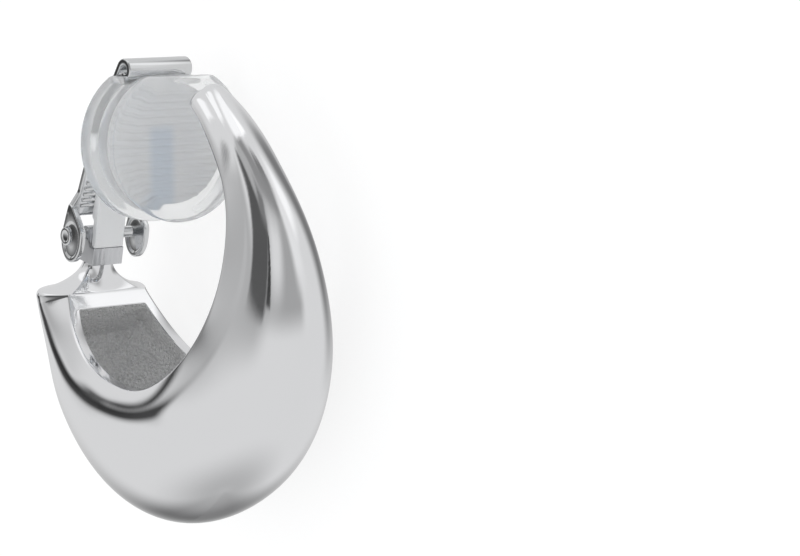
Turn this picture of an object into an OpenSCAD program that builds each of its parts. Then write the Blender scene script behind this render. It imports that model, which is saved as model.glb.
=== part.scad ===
// Clip on earring: a hollow cast crescent with a sprung lever clip and a silicone pad.
// Every piece is drawn as the earring is worn: X to the front, Y to the side and Z up,
// from the centre of the hoop. laid_down() then lays it on its side, +Z up.

/* [Crescent] */
// Inner radius of the hoop at its front
hoop_r = 8.2; // [7.4:0.1:9.5]
// Depth of the crescent at its fullest, from inner edge to crest
crest_depth = 9.8; // [8:0.1:11]
// Width of the crescent at its widest
dome_w = 11.8; // [10.5:0.1:14]
// Height of the rim band between the inner edge and the ridge
rim_band = 1.9; // [1.2:0.1:2.4]
// Thickness of the cast wall
shell_wall = 1.1; // [0.8:0.05:1.5]
// Width of the lip round the hollow
rim_lip = 0.85; // [0.6:0.05:1.2]

/* [Hinge] */
// Distance of the hinge pin behind the hoop's centre
pin_back = 10.85; // [10.4:0.05:11.3]
// Drop of the hinge pin below the hoop's centre
pin_drop = 1.36; // [1:0.02:1.8]
// Diameter of the hinge pin
pin_d = 0.8; // [0.7:0.02:1]
// Diameter of the pin's riveted heads
pin_head_d = 1.3; // [1.1:0.05:1.6]
// Thickness of the pin's heads
pin_head_t = 0.24; // [0.15:0.01:0.35]
// Width of the hinge block
block_w = 2.5; // [2:0.05:2.8]
// Distance of the block's front face before the pin
block_front = 1.2; // [1.15:0.05:1.4]
// Height of the block's face below the pin's centre, where the leaf ends
block_step = 0.72; // [0.6:0.02:0.8]
// Height of the block below that step
block_h = 1.25; // [1:0.05:1.5]
// Radius of the neck under the block
neck_r = 1.05; // [0.9:0.05:1.3]

/* [Lever] */
// Width of the lever's plate and of its rolled top
lever_w = 5.2; // [4.8:0.1:5.6]
// Width over the lever's ears
ears_w = 5.8; // [5.4:0.1:6.2]
// Thickness of the lever's sheet
sheet_t = 0.44; // [0.36:0.02:0.5]
// Length of the lever's back plate
plate_len = 12.5; // [11.5:0.1:13]
// Lean of the back plate at its foot, in degrees
plate_lean = 14; // [10:1:16]
// Lean that the back plate gains up to its top, in degrees
plate_bend = 10; // [6:1:14]
// Radius of the rolled top, at the middle of the sheet
roll_r = 0.72; // [0.66:0.01:0.85]
// Half width of the ears, from front to back
ear_r = 1.25; // [1.1:0.05:1.35]
// Distance of the ears' middle in front of the pin
ear_front = 0.6; // [0.3:0.05:0.6]
// Reach of the ears below the pin
ear_drop = 1.7; // [1.4:0.02:1.8]
// Width of the spring leaf
leaf_w = 1.9; // [1.5:0.05:2.1]
// Thickness of the spring leaf
leaf_t = 0.24; // [0.2:0.01:0.32]

/* [Silicone pad] */
// Radius of the pad's back rim
pad_r = 5.5; // [4.8:0.05:5.8]
// Thickness of the pad
pad_t = 4.9; // [3.8:0.1:5]
// Angle that the pad's face looks up by, in degrees
pad_tilt = 12; // [8:1:14]
// Height of the pad's flat top above its centre
pad_top = 4.65; // [4.4:0.05:5]
// Wall of the silicone sleeve on the spring leaf
sleeve_wall = 0.2; // [0.16:0.02:0.3]

/* [Fit] */
// Radial clearance of the pin in the lever's ears
pin_play = 0.04; // [0.02:0.01:0.08]
// Radial gap round the pin in the block, where it is pressed in
bore_play = 0.01; // [0.01:0.01:0.03]
// Gap between pieces that touch or slide
slip = 0.05; // [0.03:0.01:0.08]

/* [Hidden] */
$fn = 48;
metal_colour = [0.78, 0.79, 0.81];
pad_colour = [0.86, 0.89, 0.92, 0.6];

// Columns: angle round the hoop in degrees, 0 at the front and 90 at the top; inner radius as a
// share of hoop_r; depth as a share of crest_depth; half widths at the ridge and at the inner
// edge as shares of half dome_w; band as a share of rim_band; fullness of the outer curve.
ANGLE = 0;
INNER = 1;
DEPTH = 2;
RIDGE = 3;
EDGE = 4;
BAND = 5;
FULL = 6;
SECTIONS = [
  [-152, 1.300, 0.400, 0.760, 0.537, 1.03, 2.0],
  [-138, 1.240, 0.560, 0.780, 0.659, 1.02, 2.0],
  [-122, 1.176, 0.790, 0.868, 0.741, 0.86, 2.0],
  [-90, 1.063, 1.000, 1.000, 0.824, 0.62, 2.0],
  [-55, 1.021, 0.909, 0.993, 0.871, 0.90, 2.0],
  [-20, 1.000, 0.715, 0.754, 0.744, 1.04, 2.0],
  [15, 1.032, 0.457, 0.488, 0.569, 1.00, 1.7],
  [45, 1.096, 0.280, 0.319, 0.425, 0.80, 1.3],
  [68, 1.193, 0.205, 0.232, 0.381, 0.74, 1.2],
  [90, 1.348, 0.169, 0.135, 0.304, 0.62, 1.2]
];

tip_angle = SECTIONS[len(SECTIONS) - 1][ANGLE];
back_angle = SECTIONS[0][ANGLE];
tip_round = 5.5;
tip_blunt = 2.4;
tip_lean = 0.4;
least_end = 0.004;
round_steps = 6;
end_angle = back_angle + 1.5;
end_slope = 0.38;
end_step = 0.1;
end_inset = 0.92;
flare_full = 0.7;
flare_aim = 0.3;
hollow_back = back_angle + 7.5;
hollow_ramp = 4;
hollow_tip = 34;
hollow_round = 12;
least_hollow = 0.1;
mouth_ease = 0.97;
turn_step = 5;
side_steps = 2;
cap_steps = 8;
hollow_steps = 5;
flare_steps = 7;

pin_x = -pin_back;
pin_z = -pin_drop;
neck_z = pin_z - block_step - block_h;
knuckle_r = block_front - leaf_t - sleeve_wall - 2 * slip;
block_back = 0.95;
ear_out = ears_w / 2;
leaf_x = pin_x + knuckle_r + slip + leaf_t / 2;
leaf_foot_z = pin_z - block_step + slip;

pad_x = pin_x + 4.35;
pad_z = pin_z + 7.96;
spare = 1;

// Slope of one column of the table at one row, for the smooth curve through the rows
function slope_at(col, i) =
  let (a = max(i - 1, 0), b = min(i + 1, len(SECTIONS) - 1))
  (SECTIONS[b][col] - SECTIONS[a][col]) / (SECTIONS[b][ANGLE] - SECTIONS[a][ANGLE]);

// Row of the table that starts the stretch holding an angle
function row_of(turn, i = 0) =
  i >= len(SECTIONS) - 2 || turn < SECTIONS[i + 1][ANGLE] ? i : row_of(turn, i + 1);

// Value of one column at any angle, on a smooth curve through the rows
function column(col, turn) =
  let (
    i = row_of(turn),
    span = SECTIONS[i + 1][ANGLE] - SECTIONS[i][ANGLE],
    t = (turn - SECTIONS[i][ANGLE]) / span
  )
  (2 * t ^ 3 - 3 * t ^ 2 + 1) * SECTIONS[i][col]
  + (t ^ 3 - 2 * t ^ 2 + t) * span * slope_at(col, i)
  + (3 * t ^ 2 - 2 * t ^ 3) * SECTIONS[i + 1][col]
  + (t ^ 3 - t ^ 2) * span * slope_at(col, i + 1);

function inner_r(turn) = hoop_r * column(INNER, turn);
function depth(turn) = crest_depth * column(DEPTH, turn);
function ridge_w(turn) = dome_w / 2 * column(RIDGE, turn);
function edge_w(turn) = dome_w / 2 * column(EDGE, turn);
function band(turn) = rim_band * column(BAND, turn);

// Shrinking of a section towards a rounded end; bluntness 2 is a circle, and more is blunter
function rounding(turn, end, reach, blunt = 2) =
  turn <= end - reach ? 1 : max(least_end, 1 - ((turn - end + reach) / reach) ^ blunt) ^ (1 / blunt);

// Half of a curved outline as [depth, side] pairs: the side band, then the curve to the crest
function half_outline(top, ridge, edge, rise, full, sides, steps) = concat(
  [for (i = [0:sides - 1]) [rise * i / sides, edge + (ridge - edge) * i / sides]],
  [for (i = [0:steps]) let (a = 90 * i / steps)
    [rise + (top - rise) * sin(a) ^ (2 / full), ridge * cos(a)]]
);

// The outside of a section, from the near edge over the crest to the far edge
function outside(turn) =
  let (half = half_outline(depth(turn), ridge_w(turn), edge_w(turn), band(turn), column(FULL, turn),
    side_steps, cap_steps))
  concat([for (p = half) [p[0], -p[1]]], [for (i = [len(half) - 2:-1:0]) half[i]]);

// The hollow of a section, from the far lip over its top back to the near lip; hollow is its
// share of the full hollow, and 0 lays it flat on the inner side
function inside(turn, hollow) =
  let (
    mouth = edge_w(turn) - rim_lip,
    top = max(band(turn) + least_hollow, depth(turn) - shell_wall),
    half = half_outline(top, ridge_w(turn) - shell_wall, mouth, band(turn), column(FULL, turn),
      1, hollow_steps),
    flat = len(half)
  )
  hollow == 0
  ? concat(
    [[0, mouth]],
    [for (i = [0:2 * flat - 4]) [0, mouth_ease * mouth * cos(90 * i / (flat - 2))]],
    [[0, -mouth]]
  )
  : concat(
    [for (p = half) p * hollow],
    [for (i = [flat - 2:-1:0]) [half[i][0] * hollow, -half[i][1] * hollow]]
  );

// A section set at its angle round the hoop, shrunk about its middle by the tip's rounding and
// leaning there, so that the tip reaches further at its inner edge than at its crest
function section(turn, hollow = 0) =
  let (
    k = rounding(turn, tip_angle, tip_round, tip_blunt),
    lean = tip_lean * max(0, (turn - tip_angle + 2 * tip_round) / (2 * tip_round)),
    middle = depth(turn) / 2
  )
  [for (p = concat(outside(turn), inside(turn, hollow)))
    let (off = (p[0] - middle) * k, reach = inner_r(turn) + middle + off)
    [reach * cos(turn) + lean * off * sin(turn), p[1] * k, reach * sin(turn) - lean * off * cos(turn)]];

// The crescent's sloping back end, which runs on further at the crest than at the inner edge;
// share is how far along that run, and inset shrinks the outline about its middle
function back_end(share, inset) =
  let (middle = inner_r(end_angle) + depth(end_angle) / 2)
  [for (p = section(end_angle))
    let (
      reach = norm([p[0], p[2]]),
      run = end_step + end_slope * (reach - inner_r(end_angle)),
      turned = (middle + (reach - middle) * inset) / reach
    )
    [p[0] * turned, p[1] * inset, p[2] * turned]
    + share * run * [sin(end_angle), 0, -cos(end_angle)]];

// Sections of the flare, from the crescent's back end up to the round neck
function flare_section(part) =
  let (across = sin(90 * part), up = (1 - cos(90 * part)) ^ flare_full)
  [for (p = back_end(1, end_inset)) let (a = atan2(p[1], p[0] - pin_x + flare_aim))
    [p[0] + (pin_x + neck_r * cos(a) - p[0]) * across,
     p[1] + (neck_r * sin(a) - p[1]) * across,
     p[2] + (neck_z + slip - p[2]) * up]];

// Every section from the neck to the tip, closer together where an end is rounded
function crescent() = concat(
  [for (i = [flare_steps:-1:1]) flare_section(i / flare_steps)],
  [back_end(1, end_inset), back_end(0.5, 1), section(end_angle), section((end_angle + hollow_back) / 2),
    section(hollow_back)],
  [for (a = [hollow_back + hollow_ramp:turn_step:hollow_tip - hollow_round]) section(a, 1)],
  [for (i = [1:round_steps - 1]) let (a = hollow_tip - hollow_round * (1 - sin(90 * i / round_steps)))
    section(a, rounding(a, hollow_tip, hollow_round))],
  [for (a = [hollow_tip:turn_step:tip_angle - tip_round]) section(a)],
  [for (i = [1:round_steps]) section(tip_angle - tip_round * (1 - sin(90 * i / round_steps)))]
);

// Mean of a list of points
function mean(points, i = 0, total = [0, 0, 0]) =
  i == len(points) ? total / len(points) : mean(points, i + 1, total + points[i]);

// A closed solid through a list of sections with the same number of points
module loft(rings) {
  count = len(rings[0]);
  ends = len(rings) * count;
  last = ends - count;
  points = concat([for (ring = rings) each ring], [mean(rings[0]), mean(rings[len(rings) - 1])]);
  sides = [for (i = [0:len(rings) - 2], j = [0:count - 1]) let (k = (j + 1) % count) each [
    [i * count + k, i * count + j, (i + 1) * count + k],
    [(i + 1) * count + k, i * count + j, (i + 1) * count + j]
  ]];
  caps = [for (j = [0:count - 1]) let (k = (j + 1) % count) each [
    [ends, j, k],
    [ends + 1, last + k, last + j]
  ]];
  polyhedron(points, concat(sides, caps), convexity = 6);
}

function sheet_offset(path, i, side) =
  let (
    a = path[max(i - 1, 0)],
    b = path[min(i + 1, len(path) - 1)],
    along = (b - a) / norm(b - a)
  )
  path[i] + side * [-along[1], along[0]];

// Outline of a bent sheet of one thickness, from the line along its middle
function sheet_outline(path, thick) = concat(
  [for (i = [0:len(path) - 1]) sheet_offset(path, i, thick / 2)],
  [for (i = [len(path) - 1:-1:0]) sheet_offset(path, i, -thick / 2)]
);

// A side profile drawn in X and Z, given a width along Y and centred on the middle plane
module upright(width) {
  rotate([90, 0, 0]) linear_extrude(width, center = true) children();
}

// A front view drawn in Y and Z, given the whole depth of the clip along X
module front_view() {
  rotate([90, 0, 90]) translate([0, 0, pin_x - 2 * spare]) linear_extrude(-pin_x + 2 * spare) children();
}

// Small turns and shift that bring the laid earring to rest on the floor, its box's middle at 0
lie_reach = 16;
lie_pitch = -asin((dome_w / 2 - pad_r) / lie_reach);
lie_roll = lie_pitch / 2;
lie_shift = [-0.457, 2.945, dome_w / 2 - 0.159];

foot_back = 0.1;
foot_rise = 1.56;
plate_foot = [pin_x - foot_back, pin_z + foot_rise];
plate_steps = 6;
plate_top_lean = plate_lean + plate_bend;

function plate_point(i) =
  i == 0 ? plate_foot
  : plate_point(i - 1) + plate_len / plate_steps
    * [sin(plate_lean + plate_bend * (i - 0.5) / plate_steps),
       cos(plate_lean + plate_bend * (i - 0.5) / plate_steps)];

plate_path = [for (i = [0:plate_steps]) plate_point(i)];
roll_centre = plate_point(plate_steps) + roll_r * [cos(plate_top_lean), -sin(plate_top_lean)];
roll_steps = 24;
roll_turn = 290;
roll_gap = 0.08;
roll_pitch = sheet_t + roll_gap;
function roll_point(turned) =
  let (a = 180 - plate_top_lean - turned)
  roll_centre + (roll_r - roll_pitch * turned / 360) * [cos(a), sin(a)];
roll_path = [for (i = [1:roll_steps]) roll_point(roll_turn * i / roll_steps)];
leaf_turn = 170;
leaf_root = roll_point(leaf_turn);

// The leaf hangs from the rolled top, bends back behind the pad and runs straight down its block
leaf_steps = 12;
leaf_pull = 4.2;
leaf_push = 3.4;
leaf_lean = 0.2;
leaf_straight = 1.6;
leaf_straight_z = pin_z + leaf_straight;
function bezier(a, b, c, d, t) =
  a * (1 - t) ^ 3 + 3 * b * t * (1 - t) ^ 2 + 3 * c * t ^ 2 * (1 - t) + d * t ^ 3;
leaf_path = concat(
  [for (i = [0:leaf_steps]) bezier(
    leaf_root, leaf_root - [leaf_lean, leaf_pull],
    [leaf_x, leaf_straight_z + leaf_push], [leaf_x, leaf_straight_z], i / leaf_steps)],
  [[leaf_x, leaf_foot_z + slip]]
);

// Outline of an ear, which joins the foot of the plate; plate_out points from the plate to the front
ear_steps = 16;
ear_rise = 0.8;
ear_hold = 0.4;
plate_out = [cos(plate_lean), -sin(plate_lean)];
ear_outline = concat(
  [for (i = [0:ear_steps]) let (a = 180 + 180 * i / ear_steps)
    [pin_x + ear_front + ear_r * cos(a), pin_z + ear_drop * sin(a)]],
  [[pin_x + ear_front + ear_r, pin_z + ear_rise]],
  [plate_point(0) + (plate_point(1) - plate_point(0)) * ear_hold + sheet_t / 2 * plate_out],
  [plate_point(0) + (plate_point(1) - plate_point(0)) * ear_hold - sheet_t / 2 * plate_out],
  [plate_point(0) - sheet_t / 2 * plate_out]
);

// Edge of the lever's plate as [half width, height above its foot], narrowest above the ears
plate_waist = 2.45;
plate_edge = [
  [ear_out, -1],
  [ear_out, 0.6],
  [plate_waist, 1.8],
  [lever_w / 2, 6],
  [lever_w / 2, plate_len + 2 * roll_r]
];

// Front view of the silicone sleeve on the leaf, which widens into a web behind the pad
sleeve_w = leaf_w / 2 + slip + sleeve_wall;
web_w = 3;
web_steps = 6;
web_rise = 2;
web_foot_z = pin_z + web_rise;
web_h = 3.6;
web_reach = 2.2;
web_top_z = pad_z + web_reach;
sleeve_clear = 0.6;
web_edge = [for (i = [0:web_steps]) let (a = 90 * i / web_steps)
  [sleeve_w + (web_w - sleeve_w) * (1 - cos(a)), web_foot_z + web_h * sin(a)]];
sleeve_front = concat(
  [[-sleeve_w, leaf_foot_z], [sleeve_w, leaf_foot_z]],
  web_edge,
  [[web_w, web_top_z], [-web_w, web_top_z]],
  [for (i = [web_steps:-1:0]) [-web_edge[i][0], web_edge[i][1]]]
);

// Half outline of the pad as [radius, distance from its back]
pad_lip = 0.5;
pad_edge = 0.15;
pad_flange = 1.25;
pad_slope = 0.35;
pad_waist = 0.3;
pad_bead = 0.4;
pad_profile = [
  [0, 0],
  [pad_r - pad_lip, 0],
  [pad_r - pad_edge, pad_edge],
  [pad_r, pad_lip],
  [pad_r, pad_flange],
  [pad_r - pad_waist, pad_flange + pad_slope],
  [pad_r - pad_waist, pad_t - pad_slope - 2.5 * pad_bead],
  [pad_r - pad_edge, pad_t - 2.5 * pad_bead],
  [pad_r - pad_edge, pad_t - 1.5 * pad_bead],
  [pad_r - pad_slope, pad_t - pad_bead / 2],
  [pad_r - 2 * pad_bead, pad_t],
  [0, pad_t]
];

// Half outline of a riveted pin end, as shares of its radius and its thickness
head_profile = [
  [0, 0],
  [1, 0],
  [1, 0.55],
  [0.85, 1],
  [0.6, 1],
  [0.45, 0.6],
  [0, 0.6]
];

module hoop_shell() {
  color(metal_colour) difference() {
    union() {
      loft(crescent());
      translate([pin_x - block_back, -block_w / 2, neck_z])
        cube([block_back + block_front, block_w, block_h]);
      translate([pin_x - knuckle_r, -block_w / 2, neck_z + block_h / 2])
        cube([2 * knuckle_r, block_w, pin_z - neck_z - block_h / 2]);
      translate([pin_x, 0, pin_z]) rotate([90, 0, 0])
        cylinder(h = block_w, r = knuckle_r, center = true);
    }
    translate([pin_x, 0, pin_z]) rotate([90, 0, 0])
      cylinder(h = 2 * block_w, d = pin_d + 2 * bore_play, center = true);
  }
}

module hinge_pin() {
  color(metal_colour) translate([pin_x, 0, pin_z]) rotate([90, 0, 0]) {
    cylinder(h = 2 * (ear_out + slip + pin_head_t / 2), d = pin_d, center = true);
    for (side = [0, 1]) mirror([0, 0, side])
      translate([0, 0, ear_out + slip]) rotate_extrude()
        polygon([for (p = head_profile) [p[0] * pin_head_d / 2, p[1] * pin_head_t]]);
  }
}

module clip_lever() {
  color(metal_colour) difference() {
    union() {
      intersection() {
        upright(2 * ear_out) polygon(sheet_outline(concat(plate_path, roll_path), sheet_t));
        translate([0, 0, plate_foot[1]]) front_view() polygon(concat(plate_edge,
          [for (i = [len(plate_edge) - 1:-1:0]) [-plate_edge[i][0], plate_edge[i][1]]]));
      }
      upright(leaf_w) polygon(sheet_outline(leaf_path, leaf_t));
      for (side = [-1, 1]) translate([0, side * (ear_out - sheet_t / 2), 0])
        upright(sheet_t) polygon(ear_outline);
    }
    translate([pin_x, 0, pin_z]) rotate([90, 0, 0])
      cylinder(h = 2 * lever_w, d = pin_d + 2 * pin_play, center = true);
  }
}

module silicone_pad() {
  color(pad_colour) difference() {
    union() {
      intersection() {
        translate([pad_x, 0, pad_z]) rotate([0, 90 - pad_tilt, 0]) rotate_extrude() polygon(pad_profile);
        translate([pad_x, 0, pad_z]) rotate([0, -pad_tilt, 0])
          translate([-spare, -pad_r - spare, -pad_r - spare])
          cube([pad_t + 2 * spare, 2 * (pad_r + spare), pad_r + spare + pad_top]);
      }
      intersection() {
        upright(2 * web_w) polygon(sheet_outline(leaf_path, leaf_t + 2 * (slip + sleeve_wall)));
        front_view() polygon(sleeve_front);
      }
    }
    upright(leaf_w + 2 * slip)
      polygon(sheet_outline(concat(leaf_path, [[leaf_x, leaf_foot_z - spare]]), leaf_t + 2 * slip));
    translate([pin_x - 2 * spare, -lever_w, leaf_foot_z - spare])
      cube([leaf_x - leaf_t / 2 - pin_x + 2 * spare, 2 * lever_w,
        pin_z + knuckle_r + sleeve_clear - leaf_foot_z + spare]);
    upright(lever_w + 2 * slip) polygon(sheet_outline(plate_path, sheet_t + 2 * slip));
    translate([roll_centre[0], 0, roll_centre[1]]) rotate([90, 0, 0])
      cylinder(h = lever_w + 2 * slip, r = roll_r + sheet_t / 2 + slip, center = true);
  }
}

// The earring laid on its side, on the dome's widest arc and the pad's rim
module laid_down() {
  translate(lie_shift) rotate([lie_pitch, lie_roll, 0]) rotate([-90, 0, 0]) children();
}

laid_down() hoop_shell();
laid_down() hinge_pin();
laid_down() clip_lever();
laid_down() silicone_pad();
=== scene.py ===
import math

import bmesh
import bpy
import numpy as np
from mathutils import Matrix, Vector, noise


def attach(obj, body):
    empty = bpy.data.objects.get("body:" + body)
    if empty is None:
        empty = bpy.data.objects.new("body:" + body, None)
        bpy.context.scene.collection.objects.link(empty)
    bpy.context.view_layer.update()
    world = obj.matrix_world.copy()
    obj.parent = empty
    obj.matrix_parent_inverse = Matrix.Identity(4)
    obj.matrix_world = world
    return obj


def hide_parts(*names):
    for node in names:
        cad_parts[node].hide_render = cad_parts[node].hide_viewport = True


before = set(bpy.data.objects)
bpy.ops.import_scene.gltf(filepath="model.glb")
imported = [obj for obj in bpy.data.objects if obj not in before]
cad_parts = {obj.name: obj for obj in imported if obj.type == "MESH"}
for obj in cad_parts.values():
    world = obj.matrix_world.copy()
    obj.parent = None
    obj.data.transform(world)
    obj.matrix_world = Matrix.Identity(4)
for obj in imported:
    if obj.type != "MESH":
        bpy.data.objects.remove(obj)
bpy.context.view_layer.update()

# How the worn earring lies
# Every piece is drawn as it is worn, X to the front, Y to the side and Z up, in millimetres from
# the centre of the hoop, and is then laid on its side, on the dome's widest arc and the pad's rim.
DOME_PAST_PAD = 0.4
LIE_REACH = 16
LIE_PITCH = -math.asin(DOME_PAST_PAD / LIE_REACH)
LIE_SHIFT = Vector((-0.457, 2.945, 5.741))
LAID = (Matrix.Translation(LIE_SHIFT / 1000)
        @ Matrix.Rotation(LIE_PITCH / 2, 4, "Y")
        @ Matrix.Rotation(LIE_PITCH - math.pi / 2, 4, "X"))
FROM_WORN = LAID @ Matrix.Scale(0.001, 4)
TO_WORN = FROM_WORN.inverted()


# Crescent
# The real crescent is one thin casting, hollow behind and open to the inside of the hoop. It is
# ground and polished outside, left sandy in the hollow, and plated bright all over.
HOOP_R = 8.2
CREST_DEPTH = 9.8
HALF_W = 5.9
RIM_BAND = 1.9
WALL = 1.1
LIP = 0.85
PIN = np.array([-10.85, -1.36])
BLOCK_STEP = 0.72
BLOCK_H = 1.25
NECK_R = 1.05
NECK_Z = PIN[1] - BLOCK_STEP - BLOCK_H
NECK_SUNK = 0.05
NECK_BEHIND = 0.3
NECK_FLARE = 0.7
# Angle round the hoop, inner radius, depth, half width at the ridge, half width at the inner edge,
# band and fullness, each but the angle and the fullness as a share of its size above
SECTIONS = np.array([
    [-152, 1.300, 0.400, 0.760, 0.537, 1.03, 2.0],
    [-138, 1.240, 0.560, 0.780, 0.659, 1.02, 2.0],
    [-122, 1.176, 0.790, 0.868, 0.741, 0.86, 2.0],
    [-90, 1.063, 1.000, 1.000, 0.824, 0.62, 2.0],
    [-55, 1.021, 0.909, 0.993, 0.871, 0.90, 2.0],
    [-20, 1.000, 0.715, 0.754, 0.744, 1.04, 2.0],
    [15, 1.032, 0.457, 0.488, 0.569, 1.00, 1.7],
    [45, 1.096, 0.280, 0.319, 0.425, 0.80, 1.3],
    [68, 1.193, 0.205, 0.232, 0.381, 0.74, 1.2],
    [90, 1.348, 0.169, 0.135, 0.304, 0.62, 1.2]])
SHARED = np.array([1, HOOP_R, CREST_DEPTH, HALF_W, HALF_W, RIM_BAND, 1])
TIP = 90
TIP_ROUND = 5.5
TIP_BLUNT = 2.4
TIP_LEAN = 0.4
END = -150.5
END_INSET = 0.92
END_RUN = 0.1
END_SLOPE = 0.38
HOLLOW_BACK = -144.5
HOLLOW_TIP = 34
HOLLOW_ROUND = 12


def table_row(turn):
    """The table at any angle, on the smooth curve through its rows."""
    angle = SECTIONS[:, 0]
    last = len(SECTIONS) - 1
    i = int(np.clip(np.searchsorted(angle, turn, side="right") - 1, 0, last - 1))
    span = angle[i + 1] - angle[i]
    t = (turn - angle[i]) / span

    def slope(j):
        a, b = max(j - 1, 0), min(j + 1, last)
        return (SECTIONS[b] - SECTIONS[a]) / (angle[b] - angle[a]) * span

    return ((2 * t ** 3 - 3 * t ** 2 + 1) * SECTIONS[i] + (t ** 3 - 2 * t ** 2 + t) * slope(i)
            + (3 * t ** 2 - 2 * t ** 3) * SECTIONS[i + 1] + (t ** 3 - t ** 2) * slope(i + 1))


# The polisher's wheel evens out the curve from row to row, so that reflections run on unbroken
FINE_STEP = 0.5
WHEEL = 6
fine_turns = np.arange(SECTIONS[0, 0], TIP + 0.01, FINE_STEP)
fine_sizes = np.array([table_row(a) for a in fine_turns]) * SHARED
spread = 16
weights = np.exp(-0.5 * (np.arange(-spread, spread + 1) / WHEEL) ** 2)
for column in fine_sizes.T:
    before = 2 * column[0] - column[spread:0:-1]
    after = 2 * column[-1] - column[-2:-spread - 2:-1]
    column[:] = np.convolve(np.concatenate([before, column, after]), weights / weights.sum(), "valid")


def sizes_at(turn):
    return [np.interp(turn, fine_turns, column) for column in fine_sizes.T[1:]]


CORNER_PULL = 0.38


def corner_curve(start, leaving, end, arriving, count):
    """Points of a soft corner between two points, leaving and arriving along two directions."""
    pull = CORNER_PULL * np.linalg.norm(end - start)
    first = start + pull * leaving / np.linalg.norm(leaving)
    second = end - pull * arriving / np.linalg.norm(arriving)
    t = np.linspace(0, 1, count)[:, None]
    return ((1 - t) ** 3 * start + 3 * t * (1 - t) ** 2 * first
            + 3 * t ** 2 * (1 - t) * second + t ** 3 * end)


def half_section(top, ridge, edge, rise, full, ridge_soft, edge_soft, inward, bulge):
    """Half a section as depth and side: the inner edge, the side band, the ridge and the dome."""
    run = np.array([rise, ridge - edge])
    length = np.linalg.norm(run)
    along = run / length
    out = np.array([-along[1], along[0]])

    def band(s):
        return np.array([0, edge]) + along * s + out * bulge * math.sin(math.pi * s / length)

    def band_way(s):
        return along + out * bulge * math.pi / length * math.cos(math.pi * s / length)

    def dome(a):
        return np.stack([rise + (top - rise) * np.sin(a) ** (2 / full), ridge * np.cos(a)], -1)

    soft_down = min(ridge_soft, 0.42 * length)
    soft_up = min(ridge_soft, 0.3 * (top - rise))
    soft_edge = min(edge_soft, 0.3 * length)
    a0 = math.asin((soft_up / (top - rise)) ** (full / 2))
    dome_way = dome(a0 + 0.01) - dome(a0)
    return np.concatenate([
        corner_curve(np.array([0, edge - inward * soft_edge]), np.array([0, inward]),
                     band(soft_edge), band_way(soft_edge), 7),
        [band(s) for s in np.linspace(soft_edge, length - soft_down, 9)[1:-1]],
        corner_curve(band(length - soft_down), band_way(length - soft_down), dome(a0), dome_way, 11),
        dome(np.linspace(a0, math.pi / 2, 26))[1:]])


def ease(value, low, high):
    t = np.clip((value - low) / (high - low), 0, 1)
    return t * t * (3 - 2 * t)


def section(turn, hollow=0.0, ramp=1.0):
    """One ring of worn points; hollow is the share of the full hollow, ramp how far it is sunk."""
    inner_r, top, ridge, edge, rise, full = sizes_at(turn)
    # Towards the tip the ridge sharpens, the side band swells and the inner edge rounds off
    ridge_soft = 0.85 - 0.6 * ease(turn, -60, 0) - 0.17 * ease(turn, 40, 60)
    bulge = 0.04 - 0.06 * ease(turn, -50, 0) + 0.22 * ease(turn, 45, 78)
    edge_soft = 0.14 + 0.2 * ease(turn, 10, 80)
    out = half_section(top, ridge, edge, rise, full, ridge_soft, edge_soft, 1, bulge)
    mouth = edge - LIP
    inner_top = max(rise + 0.1, top - WALL)
    cut = half_section(inner_top, max(ridge - WALL, 0.1), mouth, rise, full,
                       ridge_soft=0.35, edge_soft=0.1, inward=-1, bulge=0)
    outer = np.concatenate([out * [1, -1], out[-2::-1]])
    cut = np.concatenate([cut, cut[-2::-1] * [1, -1]])
    level = np.stack([0 * cut[:, 0], (mouth + 0.1) * np.cos(np.linspace(0, math.pi, len(cut)))], -1)
    cut = level + (cut * hollow - level) * ramp if hollow > 0 else level
    shrink = 1.0
    if turn > TIP - TIP_ROUND:
        past = (turn - TIP + TIP_ROUND) / TIP_ROUND
        shrink = max(0.0008, 1 - past ** TIP_BLUNT) ** (1 / TIP_BLUNT)
    lean = TIP_LEAN * max(0, (turn - TIP + 2 * TIP_ROUND) / (2 * TIP_ROUND))
    points = np.concatenate([outer, cut])
    off = (points[:, 0] - top / 2) * shrink
    reach = inner_r + top / 2 + off
    a = math.radians(turn)
    return np.stack([reach * math.cos(a) + lean * off * math.sin(a), points[:, 1] * shrink,
                     reach * math.sin(a) - lean * off * math.cos(a)], -1)


def back_end(share, inset):
    """The sloping back end, which runs on further at the crest than at the inner edge."""
    inner_r, top = sizes_at(END)[:2]
    ring = section(END)
    middle = inner_r + top / 2
    reach = np.hypot(ring[:, 0], ring[:, 2])
    drawn_in = (middle + (reach - middle) * inset) / reach
    run = share * (END_RUN + END_SLOPE * (reach - inner_r))
    a = math.radians(END)
    return np.stack([ring[:, 0] * drawn_in + run * math.sin(a), ring[:, 1] * inset,
                     ring[:, 2] * drawn_in - run * math.cos(a)], -1)


def flare(part):
    """The neck, drawn up from the back end to the round foot of the hinge block."""
    base = back_end(1, END_INSET)
    across = math.sin(math.pi / 2 * part)
    up = (1 - math.cos(math.pi / 2 * part)) ** NECK_FLARE
    a = np.arctan2(base[:, 1], base[:, 0] - PIN[0] + NECK_BEHIND)
    goal = np.stack([PIN[0] + NECK_R * np.cos(a), NECK_R * np.sin(a), 0 * a + NECK_Z + NECK_SUNK], -1)
    return base + (goal - base) * np.array([across, across, up])


def sandy(rings, first, last, amount):
    """Sinks and lifts the hollow's own points a little, as sand leaves a casting."""
    mouth_points = 12
    coarse = 1.7
    fine = 4.1
    for i in range(first, last):
        for j in range(outer_count + mouth_points, len(rings[i]) - mouth_points):
            p = rings[i][j]
            lump = noise.noise(Vector(p) * coarse) + 0.6 * noise.noise(Vector(p) * fine)
            rings[i][j] = p * (1 + amount * lump / np.linalg.norm(p))
    return rings


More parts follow.
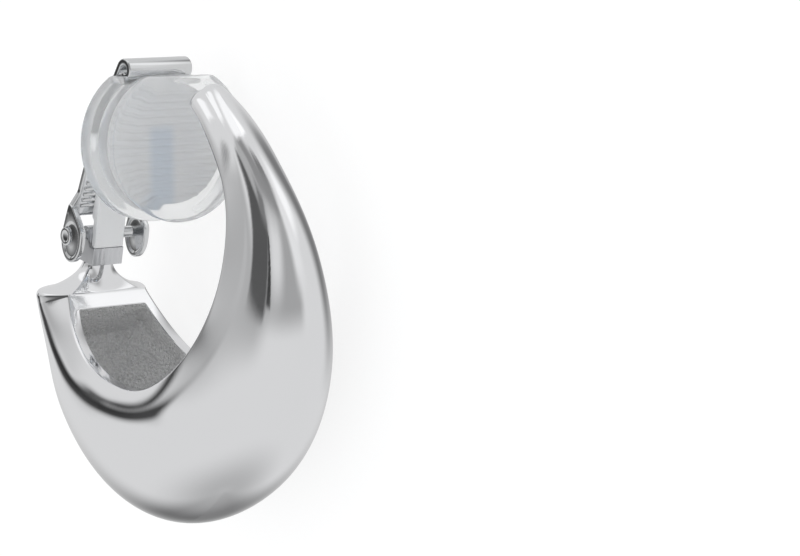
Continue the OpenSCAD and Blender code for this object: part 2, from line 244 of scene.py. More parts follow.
rings = [flare(p) for p in np.linspace(1, 0.03, 40)]
rings += [back_end(0.5 + 0.5 * math.cos(a), END_INSET + (1 - END_INSET) * math.sin(a))
          for a in np.linspace(0, math.pi / 2, 9)]
rings += [back_end(s, 1) for s in (0.35, 0.2, 0.08)]
rings += [section(a) for a in np.linspace(END, HOLLOW_BACK, 12)]
hollow_start = len(rings)
wall_steps = [0.01, 0.03, 0.07, 0.14, 0.25, 0.4, 0.55, 0.7, 0.82, 0.9, 0.95, 0.98, 1]
rings += [section(HOLLOW_BACK + 4 * s, 1, s) for s in wall_steps]
rings += [section(a, 1) for a in np.linspace(-140.2, 22, 230)]
hollow_end = len(rings)
closing = np.linspace(0, 1.45, 20)[1:]
rings += [section(HOLLOW_TIP - HOLLOW_ROUND * (1 - math.sin(s)), math.cos(s)) for s in closing]
rings += [section(a) for a in np.linspace(HOLLOW_TIP + 0.2, TIP - TIP_ROUND, 64)]
rings += [section(TIP - TIP_ROUND * (1 - math.sin(s))) for s in np.linspace(0, math.pi / 2, 22)[1:]]
outer_count = 2 * len(half_section(*sizes_at(0)[1:], 0.3, 0.1, 1, 0)) - 1
rings = sandy(rings, hollow_start + 8, hollow_end, 0.03)
LIP_POINTS = 5
cast_share = np.zeros((len(rings), len(rings[0])))
cast_share[hollow_start:hollow_end + len(closing), outer_count + LIP_POINTS:-LIP_POINTS] = 1


def skin(bm, rings, shares=None):
    """A closed skin through rings of worn points, each end closed by a fan."""
    rings = np.asarray(rings, float)
    around = rings.shape[1]
    layer = bm.verts.layers.float.get("cast") or bm.verts.layers.float.new("cast")
    verts = [[bm.verts.new(FROM_WORN @ Vector(p)) for p in ring] for ring in rings]
    for a, b in zip(verts[:-1], verts[1:]):
        for j in range(around):
            k = (j + 1) % around
            bm.faces.new((a[j], a[k], b[k], b[j]))
    for ring, points in ((verts[0][::-1], rings[0]), (verts[-1], rings[-1])):
        hub = bm.verts.new(FROM_WORN @ Vector(points.mean(0)))
        for j in range(around):
            bm.faces.new((ring[j], ring[(j + 1) % around], hub))
    if shares is not None:
        for ring, values in zip(verts, shares):
            for vert, value in zip(ring, values):
                vert[layer] = value


def piece(name, skins, material, body, nodes=(), meshes=(), shares=None):
    """One object of skins and ready meshes, riding on a body and standing for CAD nodes."""
    bm = bmesh.new()
    for number, rings in enumerate(skins):
        skin(bm, rings, shares if number == 0 else None)
    for mesh in meshes:
        bm.from_mesh(mesh)
    bmesh.ops.remove_doubles(bm, verts=bm.verts, dist=2e-7)
    bmesh.ops.recalc_face_normals(bm, faces=bm.faces)
    for face in bm.faces:
        face.smooth = True
        face.material_index = 0
    made = bpy.data.meshes.new(name)
    bm.to_mesh(made)
    bm.free()
    made.materials.clear()
    made.materials.append(material)
    item = bpy.data.objects.new(name, made)
    bpy.context.scene.collection.objects.link(item)
    if nodes:
        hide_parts(*nodes)
    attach(item, body)
    return item


def add(tree, kind, inputs=(), **settings):
    """A node with its settings made and its inputs linked or set, by name or by number."""
    made = tree.nodes.new(kind)
    for name, value in settings.items():
        setattr(made, name, value)
    for key, value in dict(inputs).items():
        if isinstance(value, bpy.types.NodeSocket):
            tree.links.new(value, made.inputs[key])
        else:
            made.inputs[key].default_value = value
    return made


def maths(tree, operation, a, b=0.0):
    return add(tree, "ShaderNodeMath", {0: a, 1: b}, operation=operation).outputs[0]


def polishing_marks():
    """Fine streaks along worn Z, and broad soft haze, from a place in worn millimetres."""
    tree = bpy.data.node_groups.new("polishing_marks", "ShaderNodeTree")
    tree.interface.new_socket("Place", in_out="INPUT", socket_type="NodeSocketVector")
    tree.interface.new_socket("Fineness", in_out="INPUT", socket_type="NodeSocketFloat")
    tree.interface.new_socket("Streaks", in_out="OUTPUT", socket_type="NodeSocketFloat")
    tree.interface.new_socket("Haze", in_out="OUTPUT", socket_type="NodeSocketFloat")
    start = tree.nodes.new("NodeGroupInput")
    end = tree.nodes.new("NodeGroupOutput")
    drawn = add(tree, "ShaderNodeMapping", {"Vector": start.outputs["Place"], "Scale": (1, 1, 0.05)})
    streaks = add(tree, "ShaderNodeTexNoise",
                  {"Vector": drawn.outputs[0], "Scale": start.outputs["Fineness"], "Detail": 3.0})
    haze = add(tree, "ShaderNodeTexNoise",
               {"Vector": start.outputs["Place"], "Scale": 0.35, "Detail": 2.0, "Roughness": 0.4})
    tree.links.new(streaks.outputs[0], end.inputs["Streaks"])
    tree.links.new(haze.outputs[0], end.inputs["Haze"])
    return tree


marks_group = polishing_marks()


def worn_place(tree):
    """The point shaded, in worn millimetres."""
    turn = TO_WORN.to_3x3().normalized().to_euler()
    return add(tree, "ShaderNodeMapping", {
        "Vector": tree.nodes.new("ShaderNodeTexCoord").outputs["Object"],
        "Location": TO_WORN.translation, "Rotation": turn, "Scale": (1000, 1000, 1000)}).outputs[0]


def plated(name, colour, gloss, streaked, hazy, relief, fineness=9.0, cast=False):
    """A plated metal: its roughness, what streaks and haze add to it, and the streaks' depth."""
    made = bpy.data.materials.new(name)
    made.use_nodes = True
    tree = made.node_tree
    shader = tree.nodes["Principled BSDF"]
    shader.inputs["Base Color"].default_value = (*colour, 1)
    shader.inputs["Metallic"].default_value = 1
    place = worn_place(tree)
    marks = add(tree, "ShaderNodeGroup", node_tree=marks_group)
    tree.links.new(place, marks.inputs["Place"])
    marks.inputs["Fineness"].default_value = fineness
    rough = maths(tree, "MULTIPLY_ADD", marks.outputs["Streaks"], streaked)
    rough.node.inputs[2].default_value = gloss
    haze = add(tree, "ShaderNodeMapRange", {
        "Value": marks.outputs["Haze"], "From Min": 0.4, "From Max": 0.7, "To Max": hazy})
    rough = maths(tree, "ADD", rough, haze.outputs[0])
    height = maths(tree, "MULTIPLY", marks.outputs["Streaks"], relief)
    if cast:
        share = add(tree, "ShaderNodeAttribute", attribute_name="cast").outputs["Fac"]
        grain = add(tree, "ShaderNodeTexNoise", {
            "Vector": place, "Scale": 5.5, "Detail": 3.0, "Roughness": 0.6})
        pits = add(tree, "ShaderNodeTexVoronoi", {"Vector": place, "Scale": 3.2})
        lumps = maths(tree, "ADD", maths(tree, "MULTIPLY", grain.outputs[0], 0.3),
                      maths(tree, "MULTIPLY", pits.outputs[0], 0.12))
        height = maths(tree, "ADD", height, maths(tree, "MULTIPLY", lumps, share))
        rough = maths(tree, "ADD", rough, maths(tree, "MULTIPLY", share, 0.2))
        specks = add(tree, "ShaderNodeMapRange", {
            "Value": grain.outputs[0], "From Min": 0.35, "From Max": 0.62,
            "To Min": 0.82, "To Max": 1.0})
        tint = add(tree, "ShaderNodeMix", {
            0: share, 6: (*colour, 1), 7: specks.outputs[0]}, data_type="RGBA")
        tree.links.new(tint.outputs[2], shader.inputs["Base Color"])
        metal = add(tree, "ShaderNodeMapRange", {"Value": share, "To Min": 1.0, "To Max": 0.2})
        tree.links.new(metal.outputs[0], shader.inputs["Metallic"])
    bump = add(tree, "ShaderNodeBump", {"Height": height, "Strength": 1.0, "Distance": 0.001})
    tree.links.new(bump.outputs[0], shader.inputs["Normal"])
    tree.links.new(rough, shader.inputs["Roughness"])
    return made


bright = plated("polished_plate", (0.93, 0.935, 0.95), 0.03, 0.06, 0.05, 0.001, cast=True)
piece("crescent", [rings], bright, "hoop", ["hoop_shell"], shares=cast_share)


# Hinge block
# A small post soldered to the crescent's neck, filed flat in front and round over the pin.

# How far along its radii a dish's floor goes and how deep, from its crowned middle to its rim
DISH = [(0.1, 0.1), (0.4, 0.3), (0.86, 1), (0.93, 0.9), (1, 0.1), (1.06, 0)]


def slab(outline, half_width, middle, edge, dish=None):
    """Rings of a flat outline in X and Z given a width along Y, its edges rounded and, where a
    dish is given as centre, radii and depth, both its faces sunk to an oval groove."""
    outline = np.asarray(outline, float)
    after = np.roll(outline, -1, 0)
    along = after - np.roll(outline, 1, 0)
    along /= np.linalg.norm(along, axis=1)[:, None]
    out = np.stack([along[:, 1], -along[:, 0]], -1)
    out *= np.sign(np.sum(outline[:, 0] * after[:, 1] - after[:, 0] * outline[:, 1]))
    levels = []
    for a in np.linspace(-math.pi / 2, math.pi / 2, 10):
        side = math.copysign(half_width - edge, a) + edge * math.sin(a)
        levels.append((outline - out * edge * (1 - math.cos(a)), side))
    if dish:
        centre, radii, depth = dish
        a = np.arctan2(*((outline - centre) / radii).T[::-1])
        oval = np.stack([np.cos(a), np.sin(a)], -1) * radii
        floor = [(centre + reach * oval, half_width - deep * depth) for reach, deep in DISH]
        levels = [(p, -s) for p, s in floor] + levels + floor[::-1]
    return [np.stack([p[:, 0], 0 * p[:, 0] + middle + s, p[:, 1]], -1) for p, s in levels]


def rounded(outline, reach, count=5):
    """A closed outline with every corner softened."""
    points = []
    outline = np.asarray(outline, float)
    for a, b, c in zip(np.roll(outline, 1, 0), outline, np.roll(outline, -1, 0)):
        back, on = a - b, c - b
        d = min(reach, 0.45 * np.linalg.norm(back), 0.45 * np.linalg.norm(on))
        start = b + back / np.linalg.norm(back) * d
        end = b + on / np.linalg.norm(on) * d
        t = np.linspace(0, 1, count)[:, None]
        points += list((1 - t) ** 2 * start + 2 * t * (1 - t) * b + t ** 2 * end)
    return np.array(points)


def evenly(points, step, closed=True):
    """The same outline with points at even steps."""
    points = np.asarray(points, float)
    if closed:
        points = np.concatenate([points, points[:1]])
    far = np.concatenate([[0], np.cumsum(np.linalg.norm(np.diff(points, axis=0), axis=1))])
    at = np.linspace(0, far[-1], max(8, round(far[-1] / step)), endpoint=not closed)
    return np.stack([np.interp(at, far, points[:, i]) for i in (0, 1)], -1)


KNUCKLE_R = 0.66
BLOCK_W = 2.5
BLOCK_FRONT = PIN[0] + 1.2
BLOCK_BACK = PIN[0] - 0.95
arch = [PIN + KNUCKLE_R * np.array([math.cos(a), math.sin(a)]) for a in np.linspace(0, math.pi, 25)]
step_z = NECK_Z + BLOCK_H
block = np.array(
    [(BLOCK_FRONT, NECK_Z), (BLOCK_FRONT, step_z), (PIN[0] + KNUCKLE_R, step_z)]
    + [tuple(p) for p in arch]
    + [(PIN[0] - KNUCKLE_R, step_z), (BLOCK_BACK, step_z), (BLOCK_BACK, NECK_Z)])
filed = plated("filed_plate", (0.74, 0.75, 0.77), 0.14, 0.3, 0.05, 0.035, fineness=7.0)
block_rings = slab(rounded(block, 0.05), BLOCK_W / 2, 0, 0.05)
piece("hinge_block", [block_rings], filed, "hoop", ["hoop_shell"])


# Hinge pin
# A wire rivet through the ears, its ends struck with a hollow punch that leaves a raised ring.
def turned(profile, count=64):
    """Rings of a turned piece on the hinge's axis, from points of radius and side."""
    a = np.linspace(0, 2 * math.pi, count, endpoint=False)
    return [np.stack([PIN[0] + r * np.cos(a), 0 * a + y, PIN[1] + r * np.sin(a)], -1)
            for r, y in profile]


# Radius and side of the head's points, from its middle over the raised ring to the shank
head = [(0.02, 2.95), (0.3, 2.95), (0.36, 2.965), (0.4, 2.99), (0.46, 3.0), (0.54, 3.0), (0.61, 2.985),
        (0.65, 2.955), (0.63, 2.93), (0.4, 2.93)]
nickel = plated("bright_nickel", (0.8, 0.81, 0.82), 0.05, 0.06, 0.08, 0.0008)
rivet_rings = turned(head + [(r, -y) for r, y in head[::-1]])
piece("rivet", [rivet_rings], nickel, "hoop", ["hinge_pin"])


# Clip lever
# One sheet stamped and bent: a back plate that leans forward, rolls over at its top and hangs
# down again as a narrow leaf; two ears turn forward from the plate and ride on the pin.
SHEET = 0.44
EAR_OUT = 2.9
LEVER_W = 5.2
PLATE_LEN = 12.5
PLATE_LEAN = 14
PLATE_BEND = 10
ROLL_R = 0.72
ROLL_TURN = 290
ROLL_CLOSES = 0.52
LEAF_T = 0.24
LEAF_HALF_W = 0.95
LEAF_LEAVES = 170
LEAF_X = PIN[0] + KNUCKLE_R + 0.05 + LEAF_T / 2
EAR_R = 1.25
EAR_DROP = 1.7
EAR_FRONT = 0.6
EAR_STRAIGHT = 0.8


def strip(path, front, back, half_width, edge):
    """Rings of a flat strip with rounded edges along a path in X and Z, with a half width and a
    reach to each side of the path that may change along it."""
    path = np.asarray(path, float)
    front, back, half_width = (np.broadcast_to(v, len(path)) for v in (front, back, half_width))
    along = np.gradient(path, axis=0)
    along /= np.linalg.norm(along, axis=1)[:, None]
    across = np.stack([along[:, 1], -along[:, 0]], -1)
    rings = []
    for p, n, f, b, w in zip(path, across, front, back, half_width):
        ring = []
        for quarter, (s, t) in enumerate([(f - edge, w - edge), (edge - b, w - edge),
                                          (edge - b, edge - w), (f - edge, edge - w)]):
            for a in np.linspace(0, math.pi / 2, 5) + quarter * math.pi / 2:
                reach = p + n * (s + edge * math.cos(a))
                ring.append((reach[0], t + edge * math.sin(a), reach[1]))
        rings.append(ring)
    return np.array(rings)


PLATE_STEPS = 60
lean = np.radians(PLATE_LEAN + PLATE_BEND * (np.arange(PLATE_STEPS) + 0.5) / PLATE_STEPS)
foot = PIN + [-0.1, 1.56]
ways = PLATE_LEN / PLATE_STEPS * np.stack([np.sin(lean), np.cos(lean)], -1)
plate = foot + np.concatenate([[[0, 0]], np.cumsum(ways, 0)])
top_lean = math.radians(PLATE_LEAN + PLATE_BEND)
roll_centre = plate[-1] + ROLL_R * np.array([math.cos(top_lean), -math.sin(top_lean)])


def roll(turned_by):
    """A point of the rolled top, which closes in a little as it turns."""
    a = math.pi - top_lean - math.radians(turned_by)
    return roll_centre + (ROLL_R - ROLL_CLOSES * turned_by / 360) * np.array([math.cos(a), math.sin(a)])


sheet = np.concatenate([plate, [roll(a) for a in np.linspace(4, ROLL_TURN, 90)]])
up_plate = np.concatenate([[0], np.cumsum(np.linalg.norm(np.diff(sheet, axis=0), axis=1))])
# The sheet is as wide as the ears at its foot, waisted just above them, and full from there on
sheet_w = np.interp(up_plate, [0, 0.6, 1.8, 6], [EAR_OUT, EAR_OUT, 2.45, LEVER_W / 2])
leaf_root = roll(LEAF_LEAVES)
leaf_bend = leaf_root - [0.2, 4.2]
leaf_low = np.array([LEAF_X, PIN[1] + 5])
leaf_knee = np.array([LEAF_X, PIN[1] + 1.6])
t = np.linspace(0, 1, 60)[:, None]
leaf = (leaf_root * (1 - t) ** 3 + 3 * leaf_bend * t * (1 - t) ** 2
        + 3 * leaf_low * t ** 2 * (1 - t) + leaf_knee * t ** 3)
leaf = np.concatenate([leaf, [[LEAF_X, z] for z in np.linspace(PIN[1] + 1.45, PIN[1] - 0.62, 20)]])
ear_centre = PIN + [EAR_FRONT, 0]
a = np.linspace(math.pi, 2 * math.pi, 33)
ear = ear_centre + np.stack([EAR_R * np.cos(a), EAR_DROP * np.sin(a)], -1)
front = SHEET / 2 * np.array([math.cos(math.radians(PLATE_LEAN)), -math.sin(math.radians(PLATE_LEAN))])
ear = np.concatenate([ear, [ear_centre + [EAR_R, EAR_STRAIGHT], plate[4] + front,
                            plate[4] - front, plate[0] - front]])
ear = evenly(rounded(ear, 0.3), 0.09)
ear_dish = (ear_centre + [0, -0.1], (0.95, 1.3), 0.1)


def grow(name, sizes, build, material):
    """The mesh that a node tree makes from its named sizes, in worn millimetres."""
    tree = bpy.data.node_groups.new(name, "GeometryNodeTree")
    kinds = {int: "NodeSocketInt", float: "NodeSocketFloat", tuple: "NodeSocketVector"}
    sockets = {size: tree.interface.new_socket(size, in_out="INPUT", socket_type=kinds[type(value)])
               for size, value in sizes.items()}
    sockets["Material"] = tree.interface.new_socket(
        "Material", in_out="INPUT", socket_type="NodeSocketMaterial")
    tree.interface.new_socket("Geometry", in_out="OUTPUT", socket_type="NodeSocketGeometry")
    start = tree.nodes.new("NodeGroupInput").outputs
    real = add(tree, "GeometryNodeRealizeInstances", {0: build(tree, start)})
    dressed = add(tree, "GeometryNodeSetMaterial", {
        "Geometry": real.outputs[0], "Material": start["Material"]})
    tree.links.new(dressed.outputs[0], tree.nodes.new("NodeGroupOutput").inputs[0])
    holder = bpy.data.objects.new(name, bpy.data.meshes.new(name))
    bpy.context.scene.collection.objects.link(holder)
    modifier = holder.modifiers.new(name, "NODES")
    modifier.node_group = tree
    for size, value in {**sizes, "Material": material}.items():
        modifier[sockets[size].identifier] = value
    made = bpy.data.meshes.new_from_object(holder.evaluated_get(bpy.context.evaluated_depsgraph_get()))
    holder.modifiers.clear()
    bpy.data.objects.remove(holder)
    return made


def bars(tree, sizes):
    """Round bars across a line of points, each turned to lie along Y."""
    line = add(tree, "GeometryNodeMeshLine", {
        "Count": sizes["Bars"], "Start Location": sizes["First"], "Offset": sizes["Step"]}, mode="OFFSET")
    bar = add(tree, "GeometryNodeMeshCylinder", {
        "Vertices": 14, "Radius": sizes["Radius"], "Depth": sizes["Length"]})
    laid = add(tree, "GeometryNodeTransform", {"Geometry": bar.outputs[0], "Rotation": (math.pi / 2, 0, 0)})
    return add(tree, "GeometryNodeInstanceOnPoints", {
        "Points": line.outputs[0], "Instance": laid.outputs[0]}).outputs[0]


FIRST_RUNG = 4
LAST_RUNG = 30
RUNG_STEPS = 2.2
first_rung = plate[FIRST_RUNG] + front
rung_step = (plate[LAST_RUNG] - plate[FIRST_RUNG]) / (LAST_RUNG - FIRST_RUNG) * RUNG_STEPS
rungs = grow("rungs", {
    "Bars": 10, "First": (float(first_rung[0]), 0.0, float(first_rung[1])),
    "Step": (float(rung_step[0]), 0.0, float(rung_step[1])), "Radius": 0.14, "Length": 4.3}, bars, nickel)
rungs.transform(FROM_WORN)
lever_skins = [
    strip(sheet, SHEET / 2, SHEET / 2, sheet_w, 0.1),
    strip(leaf, LEAF_T / 2, LEAF_T / 2, LEAF_HALF_W, 0.08),
    slab(ear, SHEET / 2, SHEET / 2 - EAR_OUT, 0.09, ear_dish),
    slab(ear, SHEET / 2, EAR_OUT - SHEET / 2, 0.09, ear_dish)]
piece("lever_sheet", lever_skins, nickel, "clip", ["clip_lever"], meshes=[rungs])


# Silicone pad
# Moulded in milky clear silicone and pulled over the leaf: a smooth flange behind, a waist, a
# front disc, and a cloudier sleeve that runs down the leaf to the block.
PAD_R = 5.5
PAD_T = 4.9
PAD_TOP = 4.65
PAD_TILT = math.radians(12)
PAD_BACK = Vector((-6.5, 0, 6.6))
PAD_PLACE = Matrix.Translation(PAD_BACK) @ Matrix.Rotation(-PAD_TILT, 4, "Y")
SILICONE_IOR = 1.41


def silicone(name, colour, clear, rough):
    """A moulded silicone: its tint, how clear it is and how rough, with faint clouds and grain."""
    made = bpy.data.materials.new(name)
    made.use_nodes = True
    tree = made.node_tree
    shader = tree.nodes["Principled BSDF"]
    shader.inputs["IOR"].default_value = SILICONE_IOR
    shader.inputs["Transmission Weight"].default_value = clear
    place = worn_place(tree)
    cloud = add(tree, "ShaderNodeTexNoise", {"Vector": place, "Scale": 0.45, "Detail": 2.0})
    tint = add(tree, "ShaderNodeMix", {
        0: cloud.outputs[0], 6: (*colour, 1), 7: (1, 1, 1, 1)}, data_type="RGBA")
    tree.links.new(tint.outputs[2], shader.inputs["Base Color"])
    fine = add(tree, "ShaderNodeTexNoise", {"Vector": place, "Scale": 6.0, "Detail": 3.0})
    worn = add(tree, "ShaderNodeMapRange", {
        "Value": fine.outputs[0], "To Min": rough - 0.06, "To Max": rough + 0.06})
    tree.links.new(worn.outputs[0], shader.inputs["Roughness"])
    bump = add(tree, "ShaderNodeBump", {
        "Height": maths(tree, "MULTIPLY", fine.outputs[0], 0.004), "Strength": 1.0, "Distance": 0.001})
    tree.links.new(bump.outputs[0], shader.inputs["Normal"])
    return made


def clear_of_lever(points):
    """Points of the pad moved out of the room that the plate and its rolled top take."""
    points = points.copy()
    across = np.abs(points[:, 1]) < LEVER_W / 2 + 0.05
    flat = points[:, [0, 2]]
    off = flat - roll_centre
    far = np.linalg.norm(off, axis=1)
    room = ROLL_R + SHEET / 2 + 0.05
    held = across & (far < room)
    down = np.array([math.sin(PAD_TILT), -math.cos(PAD_TILT)])
    drop = -(off @ down) + np.sqrt(np.maximum((off @ down) ** 2 - far ** 2 + room ** 2, 0))
    flat[held] += down * drop[held][:, None]
    wall_x = np.interp(flat[:, 1], plate[:, 1], plate[:, 0]) + SHEET / 2 + 0.08
    behind = across & (flat[:, 0] < wall_x) & (flat[:, 1] < plate[-1][1])
    flat[behind, 0] = wall_x[behind]
    points[:, [0, 2]] = flat
    return points


def pad_ring(r, h, count=200):
    """A round ring of the pad at a height from its back, flattened softly at the pad's top."""
    a = np.linspace(0, 2 * math.pi, count, endpoint=False)
    up = r * np.cos(a)
    soft = 0.12
    flattened = PAD_TOP - soft * np.exp(-np.maximum(up - PAD_TOP + soft, 0) / soft)
    up = np.where(up < PAD_TOP - soft, up, flattened)
    ring = np.stack([0 * a + h, r * np.sin(a), up], -1)
    return np.array([PAD_PLACE @ Vector(p) for p in ring])


# Radius and height of the corners, from the back over the flange and the waist to the front
pad_outline = rounded([(0.01, 0), (PAD_R, 0), (PAD_R, 1.25), (4.85, 1.6), (4.85, 3.65), (5.36, 3.85),
                       (5.36, 4.4), (4.7, PAD_T), (0.01, PAD_T)], 0.4, 9)[9:-9]
pad_outline = evenly(np.concatenate([[[0.01, 0]], pad_outline, [[0.01, PAD_T]]]), 0.14, closed=False)
pad_rings = [clear_of_lever(pad_ring(r, h)) for r, h in pad_outline]
SLEEVE_HALF_W = 1.2
SLEEVE_FRONT = 0.37
SLEEVE_BACK = 0.12
WEB_START = 2
WEB_LEN = 3.6
WEB_SPREAD = 1.8
sleeve_path = leaf[24:]
z = sleeve_path[:, 1]
web = np.clip((z - PIN[1] - WEB_START) / WEB_LEN, 0, 1)
sleeve_w = SLEEVE_HALF_W + WEB_SPREAD * (1 - np.sqrt(1 - web ** 2))
sleeve_back = SLEEVE_BACK + (SLEEVE_FRONT - SLEEVE_BACK) * ease(z, -0.1, 0.1)
sleeve_path = np.concatenate([sleeve_path, [[LEAF_X, PIN[1] - 0.67]]])
sleeve_rings = strip(sleeve_path, np.append(sleeve_back, SLEEVE_BACK), SLEEVE_FRONT,
                     np.append(sleeve_w, SLEEVE_HALF_W), 0.09)


milky = silicone("milky_silicone", (0.99, 1.0, 1.0), 0.75, 0.13)
piece("pad", [pad_rings], milky, "clip", ["silicone_pad"])
cloudy = silicone("cloudy_silicone", (0.97, 0.985, 1.0), 0.1, 0.3)
piece("pad_sleeve", [sleeve_rings], cloudy, "clip", ["silicone_pad"])


# Ribbed plate in the pad
# A greyer disc moulded inside the pad, ribbed across, which shows through the clear front. Where the
# leaf's pocket lies behind it, painted shade is put into its colour as a soft bluish patch.
def chord_bars(tree, sizes):
    """Round bars across a disc, each as long as the disc is wide there."""
    line = add(tree, "GeometryNodeMeshLine", {
        "Count": sizes["Bars"], "Start Location": sizes["First"], "Offset": sizes["Step"]}, mode="OFFSET")
    place = tree.nodes.new("GeometryNodeInputPosition").outputs[0]
    up = add(tree, "ShaderNodeSeparateXYZ", {0: place}).outputs[2]
    disc_squared = maths(tree, "MULTIPLY", sizes["Disc"], sizes["Disc"])
    room = maths(tree, "SUBTRACT", disc_squared, maths(tree, "MULTIPLY", up, up))
    long = maths(tree, "MULTIPLY", maths(tree, "SQRT", room), 1.96)
    stretch = add(tree, "ShaderNodeCombineXYZ", {0: 1.0, 1: long, 2: 1.0}).outputs[0]
    bar = add(tree, "GeometryNodeMeshCylinder", {"Vertices": 12, "Radius": sizes["Radius"], "Depth": 1.0})
    laid = add(tree, "GeometryNodeTransform", {"Geometry": bar.outputs[0], "Rotation": (math.pi / 2, 0, 0)})
    return add(tree, "GeometryNodeInstanceOnPoints", {
        "Points": line.outputs[0], "Instance": laid.outputs[0], "Scale": stretch}).outputs[0]


DISC_R = 4.15
DISC_H = 2.0
DISC_T = 0.3
POCKET_Y = -0.9
POCKET_HALF_W = 0.95
POCKET_TOP = 8.2
POCKET_SOFT = 0.45


def fading(tree, value, edge):
    """1 before an edge and 0 past it, softly."""
    return add(tree, "ShaderNodeMapRange", {
        "Value": value, "From Min": edge + POCKET_SOFT, "From Max": edge - POCKET_SOFT},
        interpolation_type="SMOOTHSTEP").outputs[0]


def pocket_shade_patch(material, colour):
    """Paints bluish shade into a silicone's colour over the leaf's pocket, with soft edges."""
    tree = material.node_tree
    shader = tree.nodes["Principled BSDF"]
    spot = add(tree, "ShaderNodeSeparateXYZ", {0: worn_place(tree)}).outputs
    aside = maths(tree, "ABSOLUTE", maths(tree, "SUBTRACT", spot[1], POCKET_Y))
    share = maths(tree, "MULTIPLY", fading(tree, aside, POCKET_HALF_W),
                  fading(tree, spot[2], POCKET_TOP))
    plain = shader.inputs["Base Color"].links[0].from_socket
    tint = add(tree, "ShaderNodeMix", {0: share, 6: plain, 7: (*colour, 1)}, data_type="RGBA")
    tree.links.new(tint.outputs[2], shader.inputs["Base Color"])


grey = silicone("ribbed_silicone", (0.94, 0.96, 1.0), 0.2, 0.4)
# The bluish colour is painted shade of the leaf's pocket behind the plate, not the silicone's own tint
pocket_shade_patch(grey, (0.74, 0.83, 0.94))
disc_ribs = grow("disc_ribs", {
    "Bars": 15, "First": (DISC_H + DISC_T, 0.0, -3.6), "Step": (0.0, 0.0, 0.5), "Disc": DISC_R,
    "Radius": 0.12}, chord_bars, grey)
disc_ribs.transform(FROM_WORN @ PAD_PLACE)
disc_corners = [(0.01, DISC_H), (DISC_R, DISC_H), (DISC_R, DISC_H + DISC_T), (0.01, DISC_H + DISC_T)]
disc_rings = [pad_ring(r, h, 96) for r, h in evenly(disc_corners, 0.15, closed=False)]
piece("pad_plate", [disc_rings], grey, "clip", meshes=[disc_ribs])


# Floor
# White paper under the earring, seen only as white with a soft pale shadow.
floor_mesh = bpy.data.meshes.new("floor")
floor_mesh.from_pydata([(-2, -2, 0), (2, -2, 0), (2, 2, 0), (-2, 2, 0)], [], [(0, 1, 2, 3)])
floor = bpy.data.objects.new("floor", floor_mesh)
bpy.context.scene.collection.objects.link(floor)
paper = bpy.data.materials.new("paper")
paper.use_nodes = True
shader = paper.node_tree.nodes["Principled BSDF"]
shader.inputs["Base Color"].default_value = (0.3, 0.3, 0.3, 1)
shader.inputs["Roughness"].default_value = 1
shader.inputs["Specular IOR Level"].default_value = 0
shader.inputs["Emission Color"].default_value = (1, 1, 1, 1)
shader.inputs["Emission Strength"].default_value = 0.75
floor_mesh.materials.append(paper)
floor.visible_glossy = False


# Studio
# White tents and paper round the earring, and the dark gaps between them that the metal mirrors.
# The azimuth is measured round worn Z from the camera's side, the height above worn level.
world = bpy.data.worlds.new("studio")
bpy.context.scene.world = world
world.use_nodes = True
sky = world.node_tree
seen = sky.nodes.new("ShaderNodeTexCoord").outputs["Generated"]
CAMERA_TURN = math.radians(36.2)


def toward(*worn_way):
    """How far a ray points along a worn direction."""
    way = LAID.to_3x3() @ Vector(worn_way)
    return add(sky, "ShaderNodeVectorMath", {0: seen, 1: way}, operation="DOT_PRODUCT").outputs["Value"]


ahead = toward(math.cos(CAMERA_TURN), -math.sin(CAMERA_TURN), 0)
aside = toward(math.sin(CAMERA_TURN), math.cos(CAMERA_TURN), 0)
azimuth = maths(sky, "MULTIPLY", maths(sky, "ARCTAN2", aside, ahead), math.degrees(1))
height = maths(sky, "MULTIPLY", maths(sky, "ARCSINE", toward(0, 0, 1)), math.degrees(1))


def past(value, edge, soft):
    """0 before an edge and 1 past it, softly."""
    return add(sky, "ShaderNodeMapRange", {
        "Value": value, "From Min": edge - soft, "From Max": edge + soft},
        interpolation_type="SMOOTHSTEP").outputs[0]


def leaned(slant):
    """The azimuth seen from a side that leans by so many degrees for each degree of height."""
    return maths(sky, "SUBTRACT", azimuth, maths(sky, "MULTIPLY", height, slant)) if slant else azimuth


def card(light, shade, left, right, bottom, top, soft, left_slant, right_slant):
    """The light so far with one soft-edged card of a shade over it."""
    over = past(leaned(left_slant), left, soft)
    not_right = maths(sky, "SUBTRACT", 1.0, past(leaned(right_slant), right, soft))
    over = maths(sky, "MULTIPLY", over, not_right)
    over = maths(sky, "MULTIPLY", over, past(height, bottom, soft))
    over = maths(sky, "MULTIPLY", over, maths(sky, "SUBTRACT", 1.0, past(height, top, soft)))
    return add(sky, "ShaderNodeMix", {0: over, 6: light, 7: (*shade, 1)}, data_type="RGBA").outputs[2]


def grey_of(level):
    """A shade as it looks in the picture, from 0 to 1."""
    return (level ** 2.2,) * 3


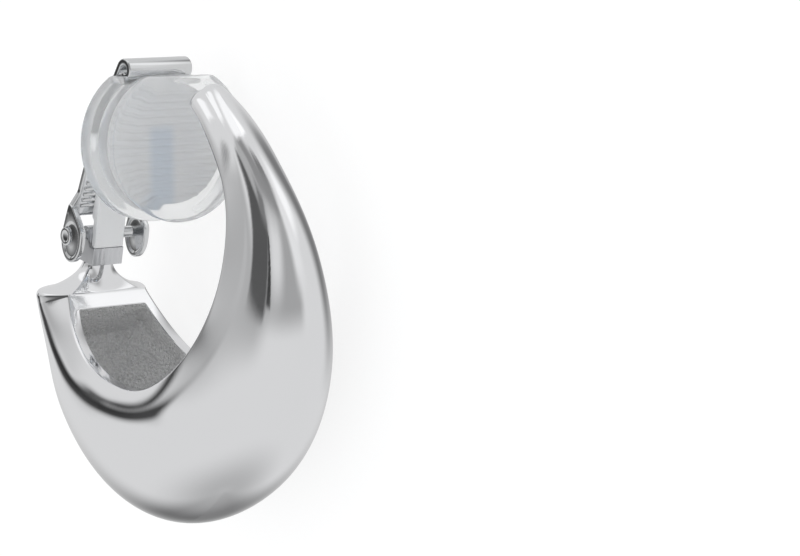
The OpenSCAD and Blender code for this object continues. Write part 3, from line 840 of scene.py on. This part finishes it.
# Each card's shade, its left and right side, bottom, top and soft edge in degrees, and how far its
# left and right sides lean for each degree of height, from the first card to the one on top
CARDS = [
    (0.7, -200, 200, -100, -66, 18, 0, 0),
    (0.5, 165, 220, -76, -31, 20, 0.36, 0),
    (0.45, -220, -170, -71, -34, 19, 0, -0.46),
    (0.64, -32, 58, 10, 60, 9, 0, 0),
    (0.55, -56, 62, 58, 80, 7, -0.12, 0),
    (0.44, -18, 60, 76, 83, 5, 0.08, 0),
    (0.85, -24, -4, 22, 57, 13, 0, 0.38),
    (0.9, 53, 78, 26, 70, 10, -0.1, 0),
    (1.0, 79, 109, 41, 68, 9, 0, 0.06),
    (0.48, 124, 167, -12, 54, 14, 0, -0.47),
    (0.84, 157, 200, 0, 56, 9, -0.09, 0),
    (1.0, -200, -61, 68, 95, 5, 0, 0),
    (1.0, -114, -80, 40, 60, 4, 0, -0.12),
    (1.05, 137, 200, 74, 95, 5, 0, 0),
    (0.68, -64, -43, 47, 64, 4, 0, 0),
    (0.57, -102, -28, 1, 15, 16, -0.16, 0),
    (0.34, -73, -30, 9, 48, 3.5, 0.16, 0.07),
    (0.47, -46, -26, 44, 58, 4, 0, -0.06),
    (0.25, -28, -15, 15, 43, 1.3, 0, -0.23),
    (0.27, -126, -92, -19, -1, 6, 0.09, -0.06),
    (0.2, -123, -113, -12, 16, 6, -0.24, -0.32)]
light = add(sky, "ShaderNodeRGB").outputs[0]
light.default_value = (*grey_of(0.85), 1)
for shade, *edges in CARDS:
    light = card(light, grey_of(shade), *edges)
metal_light = add(sky, "ShaderNodeBackground", {"Color": light, "Strength": 1.0})
soft_light = add(sky, "ShaderNodeBackground", {"Color": (0.98, 0.99, 1, 1), "Strength": 1.0})
way = sky.nodes.new("ShaderNodeLightPath")
mirrored = maths(sky, "MULTIPLY", way.outputs["Is Glossy Ray"],
                 maths(sky, "SUBTRACT", 1.0, way.outputs["Is Transmission Ray"]))
mixed = add(sky, "ShaderNodeMixShader", {
    "Fac": mirrored, 1: soft_light.outputs[0], 2: metal_light.outputs[0]})
sky.links.new(mixed.outputs[0], sky.nodes["World Output"].inputs["Surface"])


# Camera
# A long lens, turned and raised round the worn earring, with the earring left of the middle.
RISE = math.radians(16.0)
ROLLED = math.radians(6.2)
FOCAL_PX = 3000
FRAME_PX = (800, 556)
HOOP_PX = (188.93, 258.79)
PX_PER_MM = 14.62
back = Vector((math.cos(RISE) * math.cos(CAMERA_TURN), -math.cos(RISE) * math.sin(CAMERA_TURN),
               math.sin(RISE)))
level = Vector((0, 0, 1)).cross(back).normalized()
upright = back.cross(level)
right = math.cos(ROLLED) * level + math.sin(ROLLED) * upright
up = -math.sin(ROLLED) * level + math.cos(ROLLED) * upright
off_middle = ((HOOP_PX[0] - FRAME_PX[0] / 2) / FOCAL_PX, -(HOOP_PX[1] - FRAME_PX[1] / 2) / FOCAL_PX)
aim = Vector((*off_middle, -1)).normalized()
swing = Vector((0, 0, -1)).rotation_difference(aim).to_matrix()
place = (swing @ Matrix((right, up, back))).transposed().to_4x4()
place.translation = back * (FOCAL_PX / PX_PER_MM) / 1000
camera = bpy.data.objects.new("camera", bpy.data.cameras.new("camera"))
bpy.context.scene.collection.objects.link(camera)
bpy.context.scene.camera = camera
camera.data.sensor_width = 36
camera.data.lens = camera.data.sensor_width * FOCAL_PX / FRAME_PX[0]
camera.data.clip_start = 0.01
camera.matrix_world = LAID @ place
bpy.context.scene.view_settings.view_transform = "Standard"
